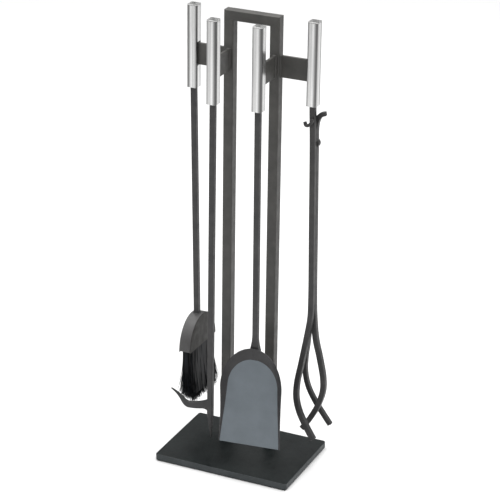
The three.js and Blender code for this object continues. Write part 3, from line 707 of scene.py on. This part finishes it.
def strand(bm, start, end, bend, width, rng):
    """One bristle: a thin three-sided stem that leaves the block straight and flares."""
    lean = rng.uniform(0, math.tau)
    rings = []
    knee = Vector((start.x, start.y, start.z - TUFT_KNEE)) + bend
    turns = [lean + math.tau * k / 3 for k in range(3)]
    for i in range(7):
        t = i / 6
        p = start * (1 - t) ** 2 + knee * (2 * t * (1 - t)) + end * t ** 2
        r = width * (1 - 0.45 * t ** 3)
        rings.append([p + Vector((r * math.cos(turn), r * math.sin(turn), 0)) for turn in turns])
    loft(bm, rings, caps=(False, True))


def brush_tuft(place):
    """Rows of tufts set in the block, each with fanned strands, round a dark core."""
    rng = random.Random(7)
    bm = bmesh.new()
    per = STRANDS
    for row in range(TUFT_ROWS):
        for column in range(TUFT_COLUMNS):
            u0 = (row + 0.5) / TUFT_ROWS * 2 - 1
            v0 = (column + 0.5) / TUFT_COLUMNS * 2 - 1
            clump = Vector((rng.uniform(-1.2, 1.2), rng.uniform(-3.2, 3.2), rng.uniform(-2.5, 4.5)))
            for _ in range(per):
                u = max(-1, min(1, u0 + rng.gauss(0, 0.26)))
                v = max(-1, min(1, v0 + rng.gauss(0, 0.055)))
                x = TUFT_ROOT_X * u0 + rng.gauss(0, 0.9)
                y = TUFT_ROOT_Y * v0 + rng.gauss(0, 0.8)
                start = Vector((x, y, HOOD_BOTTOM + 6))
                short = abs(rng.gauss(0, 4.2)) + (rng.uniform(6, 16) if rng.random() < 0.08 else 0)
                end = tip_at(u, v) + clump * 0.8 + Vector((rng.gauss(0, 0.9), rng.gauss(0, 1.5), short))
                end.z = max(end.z - BRISTLE_LOWER, TIP_LOWEST)
                end.y = min(max(end.y, TIP_FRONT), TIP_BACK)
                end.z -= BRISTLE_DROP * max(0, v)
                end.x -= BRISTLE_FAN * max(0, -u)
                bend = Vector((rng.gauss(0, 0.8), rng.gauss(0, 1.2), 0))
                strand(bm, start, end, bend, rng.uniform(0.34, 0.52), rng)
    piece("brush_tuft", placed(bm, place), FIBRE, "brush", ["brush_bristles"], sharp=180,
          weighted=False)


def brush_core(place):
    """The dense middle of the tuft, which no light comes through."""
    bm = bmesh.new()
    rings = []
    for k in range(15):
        t = k / 14
        ring = []
        for i in range(72):
            a = math.tau * i / 72
            u = math.copysign(abs(math.cos(a)) ** CORE_SQUARE, math.cos(a))
            v = math.copysign(abs(math.sin(a)) ** CORE_SQUARE, math.sin(a))
            top = Vector((CORE_ROOT_X * u, CORE_ROOT_Y * v, HOOD_BOTTOM + 5))
            low = tip_at(u, v)
            low.x *= CORE_WIDTH
            low.y = (low.y - CORE_MIDDLE) * CORE_LENGTH + CORE_MIDDLE
            low.z += CORE_SHORT + CORE_UNEVEN * noise.noise(Vector((i * 0.9, 3, 1)))
            knee = Vector((top.x, top.y, top.z - TUFT_KNEE))
            ring.append(top * (1 - t) ** 2 + knee * (2 * t * (1 - t)) + low * t ** 2)
        rings.append(ring)
    last = rings[-1]
    centre = sum(last, Vector()) / len(last)
    rings.append([centre + (p - centre) * 0.5 + Vector((0, 0, 3)) for p in last])
    loft(bm, rings)
    piece("brush_tuft_core", placed(bm, place), FIBRE, "brush", sharp=60)


def brush():
    handle("brush", -SIDE_X, HOOP_Y, 0)
    place = leaning(-SIDE_X, HOOP_Y, LEAN_BRUSH)
    bm = bmesh.new()
    bar(bm, square_section(ROD, ROD_R), HOOD_BOTTOM + HOOD_H - 1.2, ROD_TOP, 0.5, ease_low=False)
    piece("brush_rod_bar", placed(bm, place), FORGED, "brush", ["brush_rod"])
    brush_hood(place)
    hood_weld(place)
    brush_core(place)
    brush_tuft(place)


# ---------------------------------------------------------------- poker
def poker_rod(place):
    """A square bar, drawn down to a blunt point by the hammer."""
    bm = bmesh.new()
    rings = []
    for i in range(POKER_STEPS + 1):
        z = POKER_TIP + (TAPER_TOP - POKER_TIP) * (i / POKER_STEPS) ** 1.15
        taper = (z - POKER_TIP) / (TAPER_TOP - POKER_TIP)
        share = POKER_TIP_SHARE + (1 - POKER_TIP_SHARE) * taper
        size = ROD * share * (1 + 0.035 * math.sin(z * 0.8) * (1 - taper))
        shift = POKER_TIP_SHIFT * (1 - taper)
        outline = rounded_rect(size, size, min(ROD_R, size * 0.3), 4)
        rings.append([Vector((x + shift, y, z)) for x, y in outline])
    point = Vector((POKER_TIP_SHIFT, 0, POKER_TIP))
    rings.insert(0, [point + (p - point) * 0.5 for p in rings[0]])
    rings[1] = [p + Vector((0, 0, 0.5)) for p in rings[1]]
    stations = eased(TAPER_TOP, ROD_TOP, 0.5)
    for z, inset in stations[len(stations) // 2:]:
        rings.append([Vector((x, y, z)) for x, y in square_section(ROD, ROD_R)(inset)])
    loft(bm, rings)
    piece("poker_rod_bar", placed(bm, place), FORGED, "poker", ["poker_rod"])


def quadratic(a, b, c, steps):
    return [tuple(a[k] * (1 - t) ** 2 + b[k] * 2 * t * (1 - t) + c[k] * t ** 2 for k in (0, 1))
            for t in [i / steps for i in range(1, steps + 1)]]


def poker_hook(place):
    """The flat forged hook: a level neck, a round bend and a long tip that climbs and narrows."""
    z, neck = HOOK_Z, HOOK_NECK
    outline = [(3.8, z + 7.5)]
    outline += quadratic(outline[-1], (12, z + 2.6), (24, z + 0.9), 8)
    outline += quadratic(outline[-1], (32, z - 0.1), (neck, z), 6)
    outline += quadratic(outline[-1], (neck + 6.5, z + 0.8), (neck + 11.5, z + 8.5), 8)
    outline += quadratic(outline[-1], (neck + 21, z + 18), (HOOK_REACH - 0.9, z + HOOK_RISE), 8)
    outline += quadratic(outline[-1], (HOOK_REACH + 0.7, z + HOOK_RISE),
                         (HOOK_REACH - 0.1, z + HOOK_RISE - 1.4), 4)
    outline += quadratic(outline[-1], (neck + 22, z + 14.5), (neck + 16, z + 3.2), 8)
    outline += quadratic(outline[-1], (neck + 10.5, z - 8.6), (neck + 3, z + 0.4 - HOOK_DEPTH), 9)
    outline += quadratic(outline[-1], (26, z - 1 - HOOK_DEPTH), (14, z + 0.8 - HOOK_DEPTH), 8)
    outline += quadratic(outline[-1], (7.5, z + 1 - HOOK_DEPTH), (3.8, z - 5 - HOOK_DEPTH), 6)
    bm = bmesh.new()
    plate(bm, outline, HOOK_T, 1.3, 3)
    for v in bm.verts:
        thin = min(max((v.co.x - HOOK_NECK) / 33, 0), 1)
        v.co.y *= 1 - HOOK_THIN * thin
    turn = Matrix.Rotation(math.pi + math.radians(HOOK_TURN), 4, "Z")
    placed(bm, place @ turn)
    piece("poker_hook_forged", bm, FORGED, "poker", ["poker_hook"], sharp=60)


def poker():
    handle("poker", -UPRIGHT_X, FRONT_Y, math.pi / 2)
    place = leaning(-UPRIGHT_X, FRONT_Y, LEAN_POKER)
    poker_rod(place)
    poker_hook(place)


# ---------------------------------------------------------------- shovel
PAN_LENGTH = math.hypot(PAN_TOP_Z - PAN_LIP_Z, PAN_LIP_FORWARD - PAN_TOP_FORWARD)
PAN_CREASE, PAN_FLOOR_STEPS, PAN_CREASE_STEPS, PAN_WALL_STEPS = 1.6, 8, 4, 6
PAN_SIDE_STEPS, PAN_ARCH_STEPS = 26, 40
PAN_LAST = 1.999  # a hair before the top of the arch, where both halves would meet in one point


def pan_station(share):
    """The pan's floor and rim at share: 0 is the lip, 1 where the sides end and 2 the top of the arch.

    Gives the floor's half width and place along the pan, the same for the rim, and the rim's height.
    """
    if share <= 1:
        v = PAN_SIDE_V * share
        floor = PAN_LIP_HALF + (PAN_SIDE_HALF - PAN_LIP_HALF) * share
        flared = share ** 1.6
        return floor, v, floor + PAN_LIP_FLARE + PAN_FLARE * flared, v, PAN_LIP_RISE + PAN_RISE * flared
    a = (share - 1) * math.pi / 2
    arch_length = PAN_LENGTH - PAN_SIDE_V
    side_rise = PAN_LIP_RISE + PAN_RISE
    rise = side_rise + (PAN_END_RISE - side_rise) * math.sin(a) ** 2
    floor_v = PAN_SIDE_V + arch_length * math.sin(a)
    rim_v = PAN_SIDE_V + (arch_length + PAN_END_FLARE) * math.sin(a)
    rim = (PAN_SIDE_HALF + PAN_LIP_FLARE + PAN_FLARE) * math.cos(a)
    return PAN_SIDE_HALF * math.cos(a), floor_v, rim, rim_v, rise


def pan_outline(share):
    """Half of the pan's section at share, from the middle of the floor to the rim, with a rounded crease."""
    floor, floor_v, rim, rim_v, rise = pan_station(share)
    crease = PAN_CREASE * min(1.0, rise / 6)
    begin = crease / max(rise + crease, 1)
    flat = floor - crease
    foot = floor + (rim - floor) * begin
    points = [Vector((flat * i / PAN_FLOOR_STEPS, floor_v, 0)) for i in range(PAN_FLOOR_STEPS + 1)]
    walls = []
    for i in range(1, PAN_CREASE_STEPS + 1):
        t = i / PAN_CREASE_STEPS
        across = flat * (1 - t) ** 2 + floor * 2 * t * (1 - t) + foot * t ** 2
        walls.append((across, rise * begin * t ** 2))
    for i in range(1, PAN_WALL_STEPS + 1):
        t = begin + (1 - begin) * i / PAN_WALL_STEPS
        walls.append((floor + (rim - floor) * t, rise * t))
    for across, up in walls:
        toward = min(max((across - floor) / max(rim - floor, 1e-6), 0), 1)
        points.append(Vector((across, floor_v + (rim_v - floor_v) * toward, up)))
    return points


def shovel_pan(place):
    """The pan's sheet: floor, rounded crease and flared wall, with the sheet's real thickness."""
    bm = bmesh.new()
    grid = []
    sides = [i / PAN_SIDE_STEPS for i in range(PAN_SIDE_STEPS + 1)]
    arch_end = [1 + i / PAN_ARCH_STEPS for i in range(1, PAN_ARCH_STEPS + 1)]
    for share in sides + arch_end:
        half = pan_outline(min(share, PAN_LAST))
        row = [Vector((-p.x, p.y, p.z)) for p in reversed(half)] + half[1:]
        grid.append([bm.verts.new(p) for p in row])
    columns = len(grid[0])
    walls = PAN_CREASE_STEPS + PAN_WALL_STEPS
    for a, b in zip(grid, grid[1:]):
        for i in range(columns - 1):
            face = bm.faces.new((a[i], a[i + 1], b[i + 1], b[i]))
            # floor faces take the lighter blue enamel, a painted reflection; crease and wall faces take the
            # dark enamel
            face.material_index = 1 if i < walls or i >= columns - 1 - walls else 0
    bmesh.ops.remove_doubles(bm, verts=bm.verts, dist=0.12)
    tilt = Matrix.Rotation(math.atan2(PAN_TOP_Z - PAN_LIP_Z, PAN_LIP_FORWARD - PAN_TOP_FORWARD), 4, "X")
    turn = Matrix.Rotation(math.radians(PAN_TURN), 4, "Z")
    placed(bm, place @ turn @ Matrix.Translation((0, -PAN_LIP_FORWARD, PAN_LIP_Z)) @ tilt)
    enamels = [PAN_FLOOR, PAN_WALL]
    made = piece("shovel_pan_sheet", bm, enamels, "shovel", ["shovel_pan"], sharp=50,
                 weighted=False)
    thick = made.modifiers.new("sheet", "SOLIDIFY")
    thick.thickness = PAN_SHEET * MM
    thick.offset = 1
    thick.use_rim = True
    thick.material_offset_rim = 1
    thick.material_offset = 1
    edge = made.modifiers.new("edge", "BEVEL")
    edge.width = 0.35 * MM
    edge.segments = 2
    edge.limit_method = "ANGLE"
    edge.angle_limit = math.radians(60)


def shovel_socket(place):
    """The flared end of the rod, flattened against the back of the pan."""
    bm = bmesh.new()
    rings = []
    for i in range(15):
        t = i / 14
        z = FLARE_TOP - FLARE_LENGTH * t
        half = ROD / 2 + 0.1 + FLARE_SIDE * t ** 2.2
        front = -ROD / 2 - 0.1 - FLARE_FRONT * t ** 1.5
        back = ROD / 2 - 0.6
        outline = rounded_rect(2 * half, back - front, 1.0, 4)
        rings.append([Vector((x, y + (front + back) / 2, z)) for x, y in outline])
    loft(bm, rings)
    soften(bm, 0.5, 2, 60)
    turn = Matrix.Rotation(math.radians(PAN_TURN * 0.5), 4, "Z")
    piece("shovel_rod_flare", placed(bm, place @ turn), FORGED, "shovel", ["shovel_bracket"])


def shovel():
    handle("shovel", UPRIGHT_X + SHOVEL_SHIFT, FRONT_Y, math.pi / 2)
    place = leaning(UPRIGHT_X + SHOVEL_SHIFT, FRONT_Y, LEAN_SHOVEL)
    bm = bmesh.new()
    bar(bm, square_section(ROD, ROD_R), SHOVEL_ROD_LOW, ROD_TOP, 0.8)
    piece("shovel_rod_bar", placed(bm, place), FORGED, "shovel", ["shovel_rod"])
    shovel_pan(place)
    shovel_socket(place)


# ---------------------------------------------------------------- tongs
def tongs_bars():
    """The main bar down to its front prong, and the rear prong welded beside it."""
    front = [(110, MAIN_Y, 690), (110.2, MAIN_Y, 664), (112, MAIN_Y, 605), (114.4, MAIN_Y, 450),
             (116.4, MAIN_Y, 310), (115.8, 29.5, 280), (110.9, 27.5, 243), (105.4, 20, 198), (100.9, 12, 158),
             (102, 8, 132), (110, 4.5, 108), (124, 2, 84), (139, 0, 62)]
    rear = [(111.6, 34.5, 256), (108.9, 39.2, 240), (106.7, 42, 224), (102, 46, 196), (100, 50, 164),
            (105, 54, 134), (118, 57, 106), (133, 60, 82), (145, 62, 64)]
    bm = bmesh.new()
    sweep(bm, catmull(front, 190), square_section(ROD, ROD_R))
    piece("tongs_main_bar", bm, FORGED, "tongs", ["tongs_fixed_bar"])
    bm = bmesh.new()
    sweep(bm, catmull(rear, 80), square_section(REAR_PRONG, ROD_R))
    piece("tongs_rear_prong_bar", bm, FORGED, "tongs", ["tongs_rear_prong"])


def tongs_jaw():
    """The swinging bar: a flared thumb lever, the eye at the pivot, a long shank and one prong."""
    path = [(130, SWING_Y, 652.5), (124.5, SWING_Y, 651), (118.3, SWING_Y, 646), (114, SWING_Y, 637.5),
            (112, SWING_Y, 624), (PIVOT_X, SWING_Y, PIVOT_Z), (114.4, SWING_Y, 450), (116.6, SWING_Y, 310),
            (118.3, SWING_Y, 275), (123.8, 38, 236), (132.4, 36, 205), (141.5, 33, 166), (141.3, 33, 142),
            (133, 32.5, 113), (118, 31.5, 83), (105, 30, 63)]

    def lever_size(share):
        """The bar thins towards the end of the thumb lever."""
        return LEVER_THIN + (1 - LEVER_THIN) * min(share / LEVER_SHARE, 1)

    bm = bmesh.new()
    sweep(bm, catmull(path, 210), square_section(ROD, ROD_R), size=lever_size)
    piece("tongs_jaw_bar", bm, FORGED, "tongs_jaw", ["tongs_swing_bar"])
    bm = bmesh.new()
    turn = Matrix.Translation((PIVOT_X, SWING_Y, PIVOT_Z)) @ Matrix.Rotation(math.pi / 2, 4, "X")
    bar(bm, lambda inset: circle(EYE_R - inset, 48), -ROD / 2 + 0.3, ROD / 2 - 0.3, 0.8)
    piece("tongs_jaw_eye", placed(bm, turn), FORGED, "tongs_jaw")


def tongs_rivet():
    """A domed rivet head on a washer behind the eye, and its set end on the front of the main bar."""
    back = SWING_Y + ROD / 2
    turn = Matrix.Translation((PIVOT_X, 0, PIVOT_Z)) @ Matrix.Rotation(-math.pi / 2, 4, "X")
    front = MAIN_Y - ROD / 2
    dome = ((1.4, 5.0), (1.9, 5.0), (2.7, 4.5), (3.4, 3.4), (3.85, 1.8), (4, 0.4))
    set_end = ((1, 2.5), (-0.1, 3.3), (-0.5, 3.1), (-0.9, 2.3), (-1.1, 0.9))
    bm = bmesh.new()
    for start, profile in ((back, dome), (front, set_end)):
        loft(bm, [[Vector((x, y, start + height)) for x, y in circle(radius)] for height, radius in profile])
    piece("tongs_rivet_heads", placed(bm, turn), FORGED, "tongs", ["tongs_pivot_rivet"])
    bm = bmesh.new()
    under = back + WASHER_PLAY
    bar(bm, lambda inset: circle(WASHER_R - inset), under, under + WASHER_T, 0.25)
    piece("tongs_rivet_washer", placed(bm, turn), FORGED, "tongs", ["tongs_pivot_washer"])


def tongs_finger_hook():
    """A small curled rest for the forefinger on the front of the main bar."""
    path = [(113.6, 22.9, 646), (111.2, 21.9, 639.5), (107, 20.9, 634.5), (102, 21.3, 634),
            (99.2, 22.6, 639.4)]

    def section(inset):
        return rounded_rect(REST_W - 2 * inset, REST_T - 2 * inset, REST_R - min(inset, 1.4), 4)

    bm = bmesh.new()
    sweep(bm, catmull(path, 40), section, 1.2)
    piece("tongs_finger_rest", bm, FORGED, "tongs", ["tongs_finger_hook"])


def tongs():
    handle("tongs", SIDE_X, HOOP_Y, math.pi)
    tongs_bars()
    tongs_jaw()
    tongs_rivet()
    tongs_finger_hook()


stand()
brush()
poker()
shovel()
tongs()

HIDDEN = [(f"{part}_{side}", ZINC, "zinc_steel")
          for part in ("upright_plug", "frame_bolt") for side in ("left", "right")]
HIDDEN += [(f"{tool}_handle_socket", ZINC, "zinc_steel") for tool in ("brush", "poker", "shovel", "tongs")]
HIDDEN += [("brush_screw", ZINC, "zinc_steel"), ("brush_block", BLOCK, "block_plastic")]

# the pieces inside the object keep their CAD shapes
for node, material, slot in HIDDEN:
    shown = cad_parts[node]
    shown.data.materials.clear()
    shown.data.materials.append(material)


# ---------------------------------------------------------------- floor, light and camera
CAMERA_AT = (1.41248, -3.05799, 1.83997)
CAMERA_TURNS = (24.601, 23.191, 0.753)  # to the left, down and rolled
LENS = 153.66
FLOOR_HALF = 14


def floor():
    made, tree, bsdf = shader("floor_paper", (0.77, 0.77, 0.77), 0.9, specular=0.1)
    vector = coordinates(tree)
    ramp(tree, noise_of(tree, vector, 3, 2), [(0.3, (0.765, 0.765, 0.765)), (0.7, (0.775, 0.775, 0.775))],
         bsdf.inputs["Base Color"])
    bm = bmesh.new()
    bmesh.ops.create_grid(bm, x_segments=1, y_segments=1, size=FLOOR_HALF)
    data = bpy.data.meshes.new("floor")
    bm.to_mesh(data)
    bm.free()
    data.materials.append(made)
    obj = bpy.data.objects.new("floor", data)
    scene.collection.objects.link(obj)


def softbox(name, where, target, width, height, power):
    light = bpy.data.lights.new(name, "AREA")
    light.shape = "RECTANGLE"
    light.size, light.size_y = width, height
    light.energy = power
    obj = bpy.data.objects.new(name, light)
    scene.collection.objects.link(obj)
    obj.location = where
    obj.rotation_mode = "QUATERNION"
    obj.rotation_quaternion = (Vector(target) - Vector(where)).to_track_quat("-Z", "Y")


def camera():
    """A long lens that looks down 23 degrees on the object from its front right."""
    yaw, pitch, roll = (math.radians(angle) for angle in CAMERA_TURNS)
    forward = Vector((-math.sin(yaw) * math.cos(pitch), math.cos(yaw) * math.cos(pitch), -math.sin(pitch)))
    right = Vector((math.cos(yaw), math.sin(yaw), 0))
    up = right.cross(forward)
    x = right * math.cos(roll) + up * math.sin(roll)
    y = up * math.cos(roll) - right * math.sin(roll)
    data = bpy.data.cameras.new("camera")
    data.lens = LENS
    data.sensor_width = 36
    data.clip_start, data.clip_end = 0.05, 60
    obj = bpy.data.objects.new("camera", data)
    scene.collection.objects.link(obj)
    matrix = Matrix((x, y, -forward)).transposed().to_4x4()
    matrix.translation = Vector(CAMERA_AT)
    obj.matrix_world = matrix
    scene.camera = obj


floor()
softbox("top_light", (0.0, 0.45, 3.5), (0, 0.35, 0), 5.8, 5.8, 345)
softbox("front_left_light", (-1.9, -2.6, 1.5), (0, 0, 0.45), 0.8, 1.6, 12)
softbox("right_light", (3.0, -0.6, 1.6), (0, 0, 0.4), 1.0, 2.0, 4)
camera()

world = bpy.data.worlds.new("studio")
world.use_nodes = True
world.node_tree.nodes["Background"].inputs["Color"].default_value = (1, 1, 1, 1)
world.node_tree.nodes["Background"].inputs["Strength"].default_value = 0.2
scene.world = world
scene.view_settings.view_transform = "Standard"
